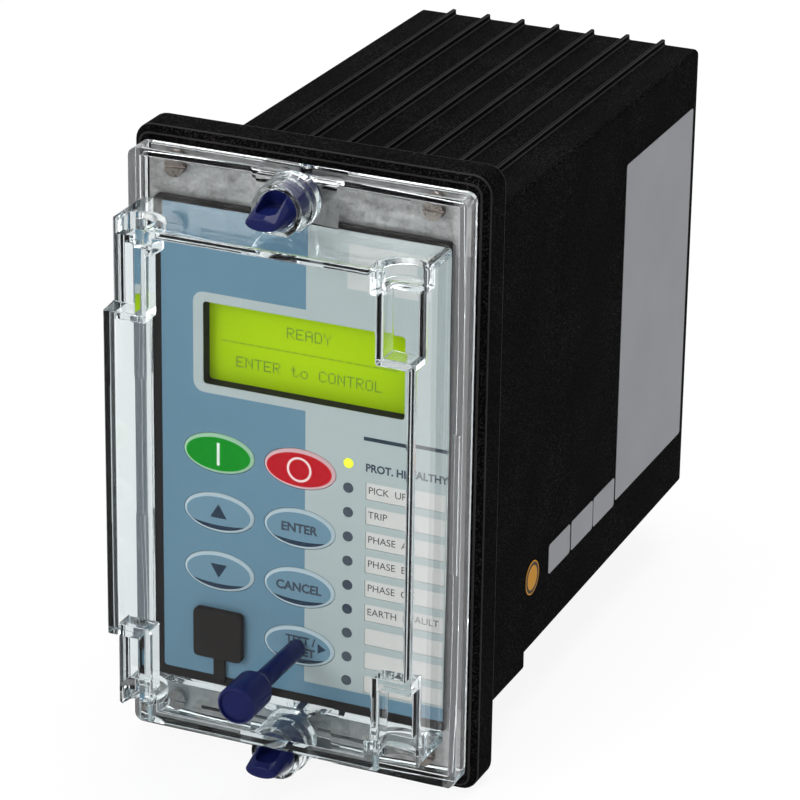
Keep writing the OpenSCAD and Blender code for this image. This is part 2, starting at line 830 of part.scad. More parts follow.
module barrels(d, front, back)
    for (z = [-1, 1]) round_bar(0, latch_z(z) - cover_z, d, back, front);

module cover_hollow()
    difference() {
        union() {
            slab(rim_back + over, cover_wall - rim_front)
                square([rim_w - 2 * cover_wall, rim_h - 2 * cover_wall], center = true);
            slab(rim_back, cover_wall - level_a)
                square([box_w - 2 * cover_wall, box_h - 2 * cover_wall], center = true);
            slab(rim_back, cover_wall - level_b) stepped(box_w - 2 * cover_wall, box_h - 2 * cover_wall);
        }
        notches(cover_wall);
    }

module clear_cover()
    color([0.9, 0.93, 0.95, 0.35]) difference() {
        translate([0, 0, cover_z]) difference() {
            union() {
                slab(rim_back, -rim_front) rounded(rim_w, rim_h, rim_r);
                slab(-rim_front + eps, -level_a) rounded(box_w, box_h, soft_r);
                slab(-level_a + eps, -level_b) stepped(box_w, box_h);
                barrels(barrel_d, -barrel_front, -rim_front + eps);
                barrels(barrel_d + 2 * barrel_step, -(rim_front + barrel_front) / 2, -rim_front + eps);
            }
            cover_hollow();
            notches(0);
            barrels(bore_d, -barrel_front - over, -barrel_floor);
            barrels(stem_hole_d, -barrel_front, rim_back);
        }
        round_bar(reset_place[0], reset_place[1], rod_hole_d, -level_b + cover_wall + over, -level_b - over);
    }

// Latch: a round head that narrows to an oval lip, with a finger scoop, on a stem with a flatted stop
lip_w = 9.4;
lip_h = 3.8;
lip_drop = 0.75;
lip_rings = [[0, 0.7], [0.35, 0.9], [1, 1]];
scoop_floor = 0.7;
scoop_lip = 1.9;
scoop_inset = 2;
scoop_r = 2.4;

module latch_head() {
    length = latch_front - barrel_floor - run_gap;
    reach = latch_front - barrel_front;
    scoop_l = reach + scoop_inset - scoop_lip;
    translate([0, -latch_front, 0]) difference() {
        hull() {
            rotate([-90, 0, 0]) translate([0, 0, reach]) cylinder(d = latch_d, h = length - reach);
            for (ring = lip_rings)
                translate([0, ring[0], -lip_drop])
                    slab(eps, 0) oval(ring[1] * lip_w, ring[1] * lip_h);
        }
        translate([0, scoop_lip + scoop_l / 2, scoop_floor])
            linear_extrude(latch_d) rounded(scoop_w, scoop_l, scoop_r);
    }
}

module latch(side)
    translate([0, 0, latch_z(side)]) {
        latch_head();
        round_bar(0, 0, stem_d, stem_tip, -barrel_floor - run_gap - eps);
        intersection() {
            round_bar(0, 0, stop_d, stop_front + stop_t, stop_front);
            block([-stop_d, stop_d], [stop_front - over, stop_front + over], [-stop_flat, stop_flat]);
        }
    }

module top_latch() color("#1e1e6e") latch(1);
module bottom_latch() color("#1e1e6e") latch(-1);

// Reset rod: a push rod through the cover's front, with its tip just off the reset key
rod_bead = 0.5;
rod_bead_l = 1.5;
rod_edge = 0.6;
rod_ring = 0.9;
rod_dish = 0.8;

module reset_rod()
    color("#1e1e6e") translate([reset_place[0], rod_tip, reset_place[1]]) rotate([90, 0, 0]) {
        neck = rod_tip - rod_head_back;
        bead = rod_tip + level_b - cover_wall - run_gap;
        tip = rod_d / 4;
        head = rod_head_d / 2;
        end = neck + rod_head_l;
        rotate_extrude()
            polygon(concat(
                [[0, 0]],
                [for (a = [0:15:90]) [rod_d / 2 - tip + tip * sin(a), tip - tip * cos(a)]],
                [[rod_d / 2, bead - rod_bead_l], [rod_d / 2 + rod_bead, bead - rod_bead_l / 2],
                 [rod_d / 2, bead], [rod_d / 2, neck], [head - rod_edge, neck], [head, neck + rod_edge],
                 [head, end - rod_edge], [head - rod_edge, end], [head - rod_ring, end],
                 [head - rod_ring, end - rod_dish], [0, end - rod_dish]]));
    }

case_shell();
chassis_top();
chassis_bottom();
chassis_screws();
fascia_frame();
fascia_overlay();
legend_card();
lcd_module();
healthy_led();
alarm_leds();
start_key();
stop_key();
up_key();
down_key();
enter_key();
cancel_key();
reset_key();
key_domes();
front_board();
board_screws();
usb_socket();
usb_cap();
board_guides();
main_board();
processor_chips();
power_board();
output_relays();
power_transformer();
smoothing_capacitors();
ct_cores();
ct_windings();
front_connector();
rear_connectors();
ct_terminal_block();
control_terminal_block();
ct_screws();
control_screws();
earth_stud();
earth_nut();
clear_cover();
top_latch();
bottom_latch();
reset_rod();
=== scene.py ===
import json
import math

import bpy
from mathutils import Matrix, Vector

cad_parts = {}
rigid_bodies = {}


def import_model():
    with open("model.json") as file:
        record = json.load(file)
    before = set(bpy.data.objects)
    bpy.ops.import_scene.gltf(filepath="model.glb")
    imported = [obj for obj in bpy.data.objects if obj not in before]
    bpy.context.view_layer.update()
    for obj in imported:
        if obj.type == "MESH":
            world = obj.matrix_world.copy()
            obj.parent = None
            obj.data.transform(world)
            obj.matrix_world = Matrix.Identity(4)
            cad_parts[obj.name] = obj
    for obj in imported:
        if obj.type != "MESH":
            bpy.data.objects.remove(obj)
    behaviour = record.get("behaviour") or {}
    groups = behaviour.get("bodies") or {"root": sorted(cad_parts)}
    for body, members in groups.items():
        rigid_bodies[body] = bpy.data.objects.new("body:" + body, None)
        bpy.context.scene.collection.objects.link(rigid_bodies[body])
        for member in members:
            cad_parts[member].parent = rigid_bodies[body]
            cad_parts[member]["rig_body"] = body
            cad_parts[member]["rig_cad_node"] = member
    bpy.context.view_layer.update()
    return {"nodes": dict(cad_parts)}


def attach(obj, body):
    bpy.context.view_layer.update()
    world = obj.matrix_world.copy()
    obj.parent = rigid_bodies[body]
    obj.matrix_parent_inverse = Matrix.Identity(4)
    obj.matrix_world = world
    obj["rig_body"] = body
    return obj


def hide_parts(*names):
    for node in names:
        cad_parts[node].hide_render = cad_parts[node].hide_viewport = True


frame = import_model()
nodes = frame["nodes"]
mm = 0.001
print("frame loaded:", len(nodes), "nodes")


# Shader tools

def tone(red, green, blue):  # a screen colour, 0 to 255, as the shader wants it
    def straight(value):
        value /= 255
        return value / 12.92 if value <= 0.04045 else ((value + 0.055) / 1.055) ** 2.4
    return (straight(red), straight(green), straight(blue), 1)


class Wire:  # a node's output, on which Python's operators add Math nodes
    def __init__(self, finish, socket):
        self.finish, self.socket = finish, socket

    def calc(self, operation, *values):
        return self.finish.node("ShaderNodeMath", {"operation": operation}, dict(enumerate(values)))

    def __add__(self, other):
        return self.calc("ADD", self, other)

    def __sub__(self, other):
        return self.calc("SUBTRACT", self, other)

    def __rsub__(self, other):
        return self.calc("SUBTRACT", other, self)

    def __mul__(self, other):
        return self.calc("MULTIPLY", self, other)

    def __truediv__(self, other):
        return self.calc("DIVIDE", self, other)

    def __pow__(self, other):
        return self.calc("POWER", self, other)

    def __abs__(self):
        return self.calc("ABSOLUTE", self)

    def least(self, other):
        return self.calc("MINIMUM", self, other)

    def most(self, other):
        return self.calc("MAXIMUM", self, other)

    def clip(self):
        return self.finish.node("ShaderNodeClamp", {}, {"Value": self})

    def edge(self, sharp=25):  # 1 where a length in millimetres is above 0
        return (self * sharp + 0.5).clip()

    __radd__ = __add__
    __rmul__ = __mul__


class Finish:  # the nodes of a new material, or of the world
    def __init__(self, name, world=None):
        self.owner = world or bpy.data.materials.new(name)
        self.owner.use_nodes = True
        self.tree = self.owner.node_tree
        self.tree.nodes.clear()
        self.place = None

    def node(self, kind, settings, sockets, out=0):
        made = self.tree.nodes.new(kind)
        for key, value in settings.items():
            setattr(made, key, value)
        for key, value in sockets.items():
            if isinstance(value, Wire):
                self.tree.links.new(value.socket, made.inputs[key])
            else:
                made.inputs[key].default_value = value
        return Wire(self, made.outputs[out] if made.outputs else None)

    def vector(self):  # Object coordinates in millimetres
        if not self.place:
            metres = self.node("ShaderNodeTexCoord", {}, {}, "Object")
            self.place = self.node("ShaderNodeVectorMath", {"operation": "SCALE"}, {0: metres, "Scale": 1 / mm})
        return self.place

    def axes(self):  # x, y and z in millimetres
        return [self.node("ShaderNodeSeparateXYZ", {}, {0: self.vector()}, axis) for axis in range(3)]

    def noise(self, scale, detail=2, stretch=(1, 1, 1)):
        vector = self.node("ShaderNodeVectorMath", {"operation": "MULTIPLY"}, {0: self.vector(), 1: stretch})
        return self.node("ShaderNodeTexNoise", {}, {"Vector": vector, "Scale": scale, "Detail": detail})

    def mix(self, factor, first, second):
        return self.node("ShaderNodeMix", {"data_type": "RGBA"}, {0: factor, 6: first, 7: second}, 2)

    def blend(self, factor, first, second):  # of two shaders
        return self.node("ShaderNodeMixShader", {}, {0: factor, 1: first, 2: second})

    def seenBy(self, *rays):  # 1 for rays of these kinds
        paths = [self.node("ShaderNodeLightPath", {}, {}, "Is %s Ray" % ray) for ray in rays]
        seen = paths[0]
        for path in paths[1:]:
            seen = seen.most(path)
        return seen

    def surface(self, sockets, height=None, depth=0.05, strength=0.4):
        if height:
            sockets["Normal"] = self.node("ShaderNodeBump", {}, {
                "Height": height, "Distance": depth * mm, "Strength": strength})
        return self.node("ShaderNodeBsdfPrincipled", {}, sockets)

    def close(self, shader, volume=None):
        ends = {"Surface": shader, "Volume": volume} if volume else {"Surface": shader}
        self.node("ShaderNodeOutputMaterial", {}, ends)
        return self.owner


# Finishes that several pieces share

plasticGrain = {"detail": 3, "patch": 0.05, "patchShare": 0.6, "fineShare": 0.4, "patchGain": 2,
                "roughSwing": 0.25}


def moulding(name, dark, light, rough, grain=1.4, depth=0.06, strength=0.35, shine=0.4, speck=None):
    s = plasticGrain
    f = Finish(name)
    fine = f.noise(grain, s["detail"])
    patch = f.noise(s["patch"])
    if speck:  # bright grains above a level, stronger in some patches
        level, gain = speck
        blend = ((fine - level) * gain).clip() * patch * s["patchGain"]
    else:
        blend = patch * s["patchShare"] + fine * s["fineShare"]
    return f.close(f.surface({
        "Base Color": f.mix(blend, dark, light),
        "Roughness": rough + (fine - 0.5) * s["roughSwing"],
        "Specular IOR Level": shine}, fine, depth, strength))


metalGrain = {"detail": 4, "cloud": 0.12, "cloudShare": 0.6, "fineShare": 0.4, "roughSwing": 0.22,
              "bump": (0.01, 0.25)}


def metal(name, dark, light, rough, grain, stretch=(1, 1, 1)):
    s = metalGrain
    f = Finish(name)
    fine = f.noise(grain, s["detail"], stretch)
    cloud = f.noise(grain * s["cloud"])
    return f.close(f.surface({
        "Base Color": f.mix(cloud * s["cloudShare"] + fine * s["fineShare"], dark, light),
        "Roughness": rough + (fine - 0.5) * s["roughSwing"],
        "Metallic": 1.0}, fine, *s["bump"]))


sheet = {"dark": tone(100, 98, 98), "light": tone(178, 176, 175), "contrast": 2, "metallic": 0.85,
         "spangle": 0.32, "fine": 1.1, "smear": 0.28, "smearStretch": (1, 1, 1.6), "detail": 4,
         "spangleShare": 0.06, "fineShare": 0.34, "smearShare": 0.6,
         "rough": 0.34, "roughFine": 0.16, "roughSpangle": 0.03,
         "bumpFine": 0.85, "bumpSpangle": 0.15, "bump": (0.02, 0.25)}


def zincSheet(s):
    f = Finish("zincSheet")
    cells = f.node("ShaderNodeTexVoronoi", {}, {"Vector": f.vector(), "Scale": s["spangle"]}, "Color")
    spangle = f.node("ShaderNodeSeparateColor", {}, {0: cells})
    fine = f.noise(s["fine"], s["detail"])
    smear = f.noise(s["smear"], s["detail"], s["smearStretch"])
    blend = spangle * s["spangleShare"] + fine * s["fineShare"] + smear * s["smearShare"]
    return f.close(f.surface({
        "Base Color": f.mix((blend - 0.5) * s["contrast"] + 0.5, s["dark"], s["light"]),
        "Roughness": s["rough"] + fine * s["roughFine"] + spangle * s["roughSpangle"],
        "Metallic": s["metallic"]}, fine * s["bumpFine"] + spangle * s["bumpSpangle"], *s["bump"]))


inkWear = {"scale": 2.5, "detail": 3, "share": 0.5, "fade": 1.35, "roughSwing": 0.1}


def ink(name, shade, rough=0.5):
    s = inkWear
    f = Finish(name)
    worn = f.noise(s["scale"], s["detail"])
    faded = [part * s["fade"] for part in shade[:3]] + [1]
    return f.close(f.surface({"Base Color": f.mix(worn * s["share"], shade, faded),
                              "Roughness": rough + worn * s["roughSwing"]}))


# The cover's plastic and the places of its cuts and narrow strips
cover = {
    "clear": tone(250, 252, 252), "lampTone": tone(252, 253, 253), "bend": 1.5, "shine": (0.08, 0.08, 0.08, 1),
    "depthTone": (0.35, 0.48, 0.52, 1), "depth": 17.0, "rough": 0.01, "scuffRough": 0.04,
    "cloud": 0.22, "scuff": 0.9, "scuffStretch": (1, 1, 6),
    "milk": tone(232, 230, 232), "haze": 0.1, "rimX": 44.7, "rimY": -21.0,
    "edge": 0.4, "edgeSegments": 3, "sharp": 30,
    "cuts": [("x", -12.0), ("x", 0.0), ("x", 12.0), ("z", -20.0), ("z", 20.0)],
    "middleZ": 0.6, "strip": (43.3, 65.5, -20.0), "seat": (9.0, 67.0, -18.4)}


def clearMoulding(s):
    f = Finish("clearMoulding")
    x, y, z = f.axes()
    cloud = f.noise(s["cloud"], 3)
    scuff = f.noise(s["scuff"], 2, s["scuffStretch"])
    glass = f.surface({
        "Base Color": s["clear"], "Roughness": s["rough"] + (cloud * scuff) ** 2 * s["scuffRough"],
        "IOR": s["bend"], "Transmission Weight": 1.0, "Specular Tint": s["shine"]})
    milk = f.node("ShaderNodeBsdfDiffuse", {}, {"Color": s["milk"]})
    rim = (abs(x) - s["rimX"]).edge() * (y - s["rimY"]).edge()
    plastic = f.blend(rim * s["haze"], glass, milk)
    through = f.node("ShaderNodeBsdfTransparent", {}, {"Color": s["lampTone"]})
    passing = f.seenBy("Shadow", "Diffuse")  # lamps and soft light pass as if the plastic weren't there
    grey = f.node("ShaderNodeVolumeAbsorption", {}, {"Color": s["depthTone"], "Density": s["depth"]})
    return f.close(f.blend(passing, plastic, through), grey)


blackMoulding = moulding("blackMoulding", tone(5, 5, 5), tone(50, 48, 48), rough=0.62, grain=2.3, depth=0.16,
                         strength=0.9, shine=0.003, speck=(0.52, 4))
# The case's rounded edges wear this finish: its base colour is lighter than blackMoulding's, a painted highlight
# along the edges; its higher shine and lower roughness are real gloss.
blackEdgePaintedHighlight = moulding("blackEdgePaintedHighlight", tone(18, 18, 18), tone(54, 52, 52), rough=0.5, grain=1.9, depth=0.1,
                     strength=0.6, shine=0.03)
terminalMoulding = moulding("terminalMoulding", tone(20, 20, 21), tone(33, 32, 32), rough=0.46, grain=0.9,
                            depth=0.04)
frameMoulding = moulding("frameMoulding", tone(20, 18, 18), tone(32, 28, 27), rough=0.6, grain=1.8, depth=0.04,
                         shine=0.1)
capRubber = moulding("capRubber", tone(26, 23, 22), tone(40, 36, 35), rough=0.75, grain=1.1, depth=0.09,
                     strength=0.5, shine=0.08)
navyPlastic = moulding("navyPlastic", tone(15, 21, 66), tone(23, 30, 82), rough=0.1, grain=0.5, depth=0.01,
                       strength=0.06, shine=0.1)
zinc = zincSheet(sheet)
screwSteel = metal("screwSteel", tone(88, 81, 77), tone(146, 137, 131), rough=0.3, grain=1.6)
terminalSteel = metal("terminalSteel", tone(182, 178, 166), tone(222, 219, 210), rough=0.28, grain=1.4)
brass = metal("brass", tone(168, 138, 66), tone(214, 186, 112), rough=0.28, grain=1.4)
polycarbonate = clearMoulding(cover)
darkInk = ink("darkInk", tone(38, 52, 68))
legendInk = ink("legendInk", tone(52, 54, 58))
displayInk = ink("displayInk", tone(78, 110, 4), rough=0.35)
print("shared finishes ready")


# Fascia print

filmLayout = {
    "blue": tone(104, 138, 158), "blueDark": tone(96, 129, 149), "grey": tone(175, 185, 185),
    "greyDark": tone(168, 178, 179), "label": tone(196, 198, 197), "rule": tone(40, 54, 66),
    "divide": 1.6, "strip": -62.9, "surroundLeft": -31.5, "surround": (17.1, 45.9), "surroundCorner": 3.2,
    "labelX": (13.4, 34.9), "labelZ": (53.9, 64.2), "ruleX": (18.6, 41.9), "ruleZ": 12.4, "ruleHalf": 0.55,
    "cloud": 0.03, "fine": 3.2, "rough": 0.36, "roughSwing": 0.18, "shine": 0.12, "bump": (0.015, 0.3)}


def within(value, span):  # a length, above 0 inside the span
    return (value - span[0]).least(span[1] - value)


def filmFinish(s):
    f = Finish("printedFilm")
    x, y, z = f.axes()
    fine = f.noise(s["fine"])
    cloud = f.noise(s["cloud"])
    middle, half = sum(s["surround"]) / 2, (s["surround"][1] - s["surround"][0]) / 2
    corner = s["surroundCorner"]
    inX = (s["surroundLeft"] + corner - x).most(0)
    inZ = (abs(z - middle) - (half - corner)).most(0)
    surround = (corner - (inX ** 2 + inZ ** 2) ** 0.5).edge()
    grey = (x - s["divide"]).edge().most(surround) * (z - s["strip"]).edge()
    label = within(x, s["labelX"]).least(within(z, s["labelZ"])).edge()
    rule = within(x, s["ruleX"]).least(s["ruleHalf"] - abs(z - s["ruleZ"])).edge()
    colour = f.mix(grey, f.mix(cloud, s["blueDark"], s["blue"]), f.mix(cloud, s["greyDark"], s["grey"]))
    colour = f.mix(rule, f.mix(label, colour, s["label"]), s["rule"])
    return f.close(f.surface({"Base Color": colour, "Roughness": s["rough"] + fine * s["roughSwing"],
                              "Specular IOR Level": s["shine"]}, fine, *s["bump"]))


printedFilm = filmFinish(filmLayout)

# An arrow is its half width, its length and its middle's x and z
keyLayout = {
    "ring": 0.93, "half": (10.5, 5.75), "crescent": (-3.5, 0.5, 6.5), "print": tone(40, 54, 72),
    "faces": {"green": (tone(0, 136, 26), tone(160, 200, 168)), "red": (tone(184, 16, 30), tone(218, 176, 180)),
              "blue": (tone(108, 140, 158), tone(178, 194, 202))},
    "bar": (0.42, 3.3), "circle": (3.3, 0.32),
    "arrows": {"up": (2.5, 4.1, 0, 0.7), "down": (2.5, 4.1, 0, 0.3), "right": (1.5, 2.5, 7.0, 0.6)},
    "paleMarks": {"bar": tone(222, 234, 224), "circle": tone(240, 214, 212)},
    "fine": 3.2, "rough": 0.34, "roughSwing": 0.16, "shine": 0.05, "bump": (0.015, 0.3), "rounding": 0.12}


def ovalLength(x, z, a, b):  # about the distance inside an oval
    return (1 - ((x / a) ** 2 + (z / b) ** 2) ** 0.5) * b


def wedge(across, along, halfWidth, length):  # a triangle with its point towards +along
    return (length / 2 - along).least(along + length / 2).least(
        (halfWidth * (length / 2 - along) / length - abs(across)))


def keyMark(mark, x, z, s):  # a length, above 0 inside the mark
    if mark == "bar":
        halfWide, halfTall = s["bar"]
        return (halfWide - abs(x)).least(halfTall - abs(z))
    if mark == "circle":
        radius, halfLine = s["circle"]
        return halfLine - abs((x ** 2 + z ** 2) ** 0.5 - radius)
    halfWidth, length, midX, midZ = s["arrows"][mark]
    if mark == "right":
        return wedge(z - midZ, x - midX, halfWidth, length)
    return wedge(x, z - midZ if mark == "up" else midZ - z, halfWidth, length)


def keyFinish(name, place, face, mark, s):
    f = Finish(name)
    x, y, z = f.axes()
    x, z = x - place[0], z - place[1]
    fine = f.noise(s["fine"])
    faceTone, ringTone = s["faces"][face]
    inner = ovalLength(x, z, s["half"][0] - s["ring"], s["half"][1] - s["ring"])
    colour = f.mix(inner.edge(), ringTone, faceTone)
    if face == "blue":
        base, rise, run = s["crescent"]
        sliver = (base + (x / run) ** 2 * rise - z).least(inner).edge()
        colour = f.mix(sliver, colour, s["print"])
    if mark:
        shade = s["paleMarks"].get(mark, s["print"])
        colour = f.mix(keyMark(mark, x, z, s).edge(), colour, shade)
    return f.close(f.surface({"Base Color": colour, "Roughness": s["rough"] + fine * s["roughSwing"],
                              "Specular IOR Level": s["shine"]}, fine, *s["bump"]))


backlight = {"dark": tone(134, 170, 0), "light": tone(164, 199, 0), "half": (34, 15), "midZ": 31, "fall": 0.5,
             "cell": 4, "glowShare": 0.8, "cellShare": 0.2, "rough": 0.3, "roughSwing": 0.06, "shine": 0.04,
             "strength": 0.12}


def displayFinish(s):
    f = Finish("backlitDisplay")
    x, y, z = f.axes()
    cell = f.noise(s["cell"], 1)
    away = (x / s["half"][0]) ** 2 + ((z - s["midZ"]) / s["half"][1]) ** 2
    glow = (1 - away * s["fall"]).clip()
    colour = f.mix(glow * s["glowShare"] + cell * s["cellShare"], s["dark"], s["light"])
    return f.close(f.surface({
        "Base Color": colour, "Roughness": s["rough"] + cell * s["roughSwing"], "Specular IOR Level": s["shine"],
        "Emission Color": colour, "Emission Strength": s["strength"]}))


lampLens = {"cloud": 1.5, "rough": 0.18, "roughSwing": 0.1}


def lampFinish(name, dark, light, glow):
    f = Finish(name)
    depth = f.noise(lampLens["cloud"])
    colour = f.mix(depth, dark, light)
    return f.close(f.surface({
        "Base Color": colour, "Roughness": lampLens["rough"] + depth * lampLens["roughSwing"],
        "Emission Color": colour, "Emission Strength": glow}))


card = {"dark": tone(198, 196, 193), "light": tone(214, 212, 209), "fibre": 1.6, "detail": 5,
        "stretch": (1, 1, 3), "rough": 0.55, "roughSwing": 0.2, "shine": 0.3, "bump": (0.01, 0.2)}


def cardFinish(s):
    f = Finish("legendCard")
    fibre = f.noise(s["fibre"], s["detail"], s["stretch"])
    return f.close(f.surface({
        "Base Color": f.mix(fibre, s["dark"], s["light"]), "Roughness": s["rough"] + fibre * s["roughSwing"],
        "Specular IOR Level": s["shine"]}, fibre, *s["bump"]))


circuit = {"resist": tone(14, 52, 36), "resistLight": tone(17, 58, 40), "track": tone(34, 82, 56),
           "pitch": 0.12, "trackWidth": 0.06, "fine": 1.2, "rough": 0.34, "roughSwing": 0.15, "bump": (0.01, 0.2)}


def boardFinish(s):
    f = Finish("circuitBoard")
    tracks = f.node("ShaderNodeTexBrick", {}, {
        "Vector": f.vector(), "Scale": s["pitch"], "Mortar Size": s["trackWidth"], "Color1": s["resist"],
        "Color2": s["resistLight"], "Mortar": s["track"]})
    fine = f.noise(s["fine"], 3)
    return f.close(f.surface({"Base Color": tracks, "Roughness": s["rough"] + fine * s["roughSwing"]},
                             fine, *s["bump"]))


print("fascia finishes ready")


# Mesh tools

cleaning = {"merge": 0.02, "flatAngle": 0.4}


def pick(piece):
    bpy.ops.object.select_all(action="DESELECT")
    piece.select_set(True)
    bpy.context.view_layer.objects.active = piece


def modify(piece, kind, settings):
    pick(piece)
    bpy.ops.object.modifier_add(type=kind)
    modifier = piece.modifiers[-1]
    for key, value in settings.items():
        setattr(modifier, key, value)
    bpy.ops.object.modifier_apply(modifier=modifier.name)


def wear(piece, *finishes):
    piece.data.materials.clear()
    for finish in finishes:
        piece.data.materials.append(finish)


def selectOnly(piece, kind, wanted):  # goes into edit mode with only the wanted edges or faces selected
    bpy.ops.object.mode_set(mode="EDIT")
    bpy.ops.mesh.select_mode(type=kind)
    bpy.ops.mesh.select_all(action="DESELECT")
    bpy.ops.object.mode_set(mode="OBJECT")
    for part in piece.data.edges if kind == "EDGE" else piece.data.polygons:
        part.select = wanted(part)
    bpy.ops.object.mode_set(mode="EDIT")


def settle(piece, name, body):  # its place goes into its mesh, and it rides on a body
    pick(piece)
    bpy.ops.object.transform_apply(location=True, rotation=True, scale=True)
    piece.name = piece.data.name = name
    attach(piece, body)
    return piece


def cleanCopy(nodeName, finishes):  # a CAD node's mesh, merged and with its flat faces whole
    source = nodes[nodeName]
    piece = source.copy()
    piece.data = source.data.copy()
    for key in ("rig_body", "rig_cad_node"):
        del piece[key]
    piece.parent = None
    bpy.context.scene.collection.objects.link(piece)
    wear(piece, *finishes)
    pick(piece)
    bpy.ops.mesh.customdata_custom_splitnormals_clear()
    bpy.ops.object.mode_set(mode="EDIT")
    bpy.ops.mesh.select_all(action="SELECT")
    bpy.ops.mesh.remove_doubles(threshold=cleaning["merge"] * mm)
    bpy.ops.mesh.dissolve_limited(angle_limit=math.radians(cleaning["flatAngle"]))
    bpy.ops.mesh.dissolve_degenerate(threshold=cleaning["merge"] * mm)
    bpy.ops.object.mode_set(mode="OBJECT")
    return piece


def roundEdges(piece, width, segments=2, angle=30, clamp=False, limit="ANGLE"):
    modify(piece, "BEVEL", {
        "width": width * mm, "segments": segments, "limit_method": limit, "angle_limit": math.radians(angle),
        "use_clamp_overlap": clamp, "miter_outer": "MITER_ARC",
        "material": len(piece.data.materials) - 1})  # the rounded edges wear the piece's last finish


def standIn(piece, nodeName, body, angle=30):
    bpy.ops.object.shade_smooth_by_angle(angle=math.radians(angle))
    modify(piece, "WEIGHTED_NORMAL", {"mode": "FACE_AREA", "weight": 100, "keep_sharp": True})
    settle(piece, nodeName + "_dressed", body)
    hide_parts(nodeName)


# Rounded copies of the moulded pieces: body, finishes, slot, rounding, least angle of a rounded edge, clamp

mouldedPieces = {
    # the case's rounded edges wear the lighter edge finish, a painted highlight
    "case_shell": ("case", (blackMoulding, blackEdgePaintedHighlight), "case_black", 0.35, 30, False),
    "fascia_frame": ("case", (frameMoulding,), "frame_black", 0.2, 30, False),
    "ct_terminal_block": ("case", (terminalMoulding,), "terminal_black", 0.2, 30, True),
    "control_terminal_block": ("case", (terminalMoulding,), "terminal_black", 0.2, 30, True),
    "usb_cap": ("usb_cap", (capRubber,), "cap_rubber", 0.3, 30, False),
    "top_latch": ("top_latch", (navyPlastic,), "navy_plastic", 0.2, 50, False),
    "bottom_latch": ("bottom_latch", (navyPlastic,), "navy_plastic", 0.2, 50, False),
    "reset_rod": ("reset_rod", (navyPlastic,), "navy_plastic", 0.1, 30, False)}
for name, (body, finishes, slot, rounding, angle, clamp) in mouldedPieces.items():
    piece = cleanCopy(name, finishes)
    roundEdges(piece, rounding, angle=angle, clamp=clamp)
    standIn(piece, name, body, angle)


# The cover, whose ring-shaped faces are split first

def narrow(point, s):  # beside a corner notch or at a latch's seat, where a rounded edge has no room
    x, z = abs(point.x), abs(point.z - s["middleZ"])
    return (x > s["strip"][0] and z > s["strip"][1] and point.y < s["strip"][2]
            or x < s["seat"][0] and z > s["seat"][1] and point.y > s["seat"][2])


piece = cleanCopy("clear_cover", [polycarbonate])
bpy.ops.object.mode_set(mode="EDIT")
for axis, place in cover["cuts"]:
    across = Vector((axis == "x", 0, axis == "z"))
    bpy.ops.mesh.select_all(action="SELECT")
    bpy.ops.mesh.bisect(plane_co=across * place * mm, plane_no=across)
bpy.ops.mesh.select_mode(type="EDGE")
bpy.ops.mesh.select_all(action="DESELECT")
bpy.ops.mesh.edges_select_sharp(sharpness=math.radians(cover["sharp"]))
bpy.ops.object.mode_set(mode="OBJECT")
corners = [vertex.co / mm for vertex in piece.data.vertices]
roomy = {edge.index for edge in piece.data.edges
         if edge.select and not any(narrow(corners[i], cover) for i in edge.vertices)}
selectOnly(piece, "EDGE", lambda edge: edge.index in roomy)
bpy.ops.transform.edge_bevelweight(value=1)
bpy.ops.object.mode_set(mode="OBJECT")
roundEdges(piece, cover["edge"], segments=cover["edgeSegments"], limit="WEIGHT")
standIn(piece, "clear_cover", "cover")

keyPlan = {
    "start_key": ((-23.9, 0), "green", "bar"), "stop_key": ((0.1, 0), "red", "circle"),
    "up_key": ((-23.9, -17.5), "blue", "up"), "down_key": ((-23.9, -35), "blue", "down"),
    "enter_key": ((0.1, -17.5), "blue", None), "cancel_key": ((0.1, -35), "blue", None),
    "reset_key": ((0.1, -52.5), "blue", "right")}
for name, (place, face, mark) in keyPlan.items():
    piece = cleanCopy(name, [keyFinish(name + "Print", place, face, mark, keyLayout)])
    roundEdges(piece, keyLayout["rounding"])
    standIn(piece, name, name)
print("moulded pieces rounded")


# Finishes of the nodes that keep their CAD shape

board = boardFinish(circuit)
chip = moulding("chipPackage", tone(30, 31, 33), tone(44, 45, 47), rough=0.5, grain=2)
nodeFinishes = {
    "chassis_top": zinc, "chassis_bottom": zinc, "chassis_screws": screwSteel, "fascia_overlay": printedFilm,
    "legend_card": cardFinish(card), "lcd_module": displayFinish(backlight),
    "healthy_led": lampFinish("litLamp", tone(196, 222, 20), tone(236, 246, 60), glow=0.6),
    "alarm_leds": lampFinish("darkLamp", tone(34, 44, 56), tone(66, 78, 92), glow=0.0),
    "key_domes": screwSteel, "front_board": board, "main_board": board, "power_board": board,
    "board_screws": screwSteel, "usb_socket": screwSteel,
    "board_guides": moulding("guideNylon", tone(214, 211, 204), tone(232, 229, 222), rough=0.45, grain=1),
    "processor_chips": chip, "output_relays": chip, "front_connector": chip, "rear_connectors": chip,
    "power_transformer": moulding("coilTape", tone(184, 150, 62), tone(206, 174, 88), rough=0.4, grain=0.8),
    "smoothing_capacitors": moulding("canSleeve", tone(26, 38, 62), tone(40, 56, 84), rough=0.3, grain=0.6),
    "ct_cores": metal("coreIron", tone(74, 78, 82), tone(104, 108, 112), rough=0.5, grain=2, stretch=(8, 1, 1)),
    "ct_windings": metal("windingWire", tone(150, 84, 40), tone(196, 118, 62), rough=0.35, grain=1.2,
                         stretch=(1, 6, 1)),
    "ct_screws": terminalSteel, "control_screws": terminalSteel, "earth_stud": brass, "earth_nut": brass}
for name, finish in nodeFinishes.items():
    wear(nodes[name], finish)
print("node finishes set")


# Lettering on the keys and beside the lamps

letters = {"capShare": 0.7, "depth": 0.03, "curve": 4, "keyFace": -16.0, "filmFace": -15.4, "cardFace": -15.1,
           "keyWeight": 0.12}


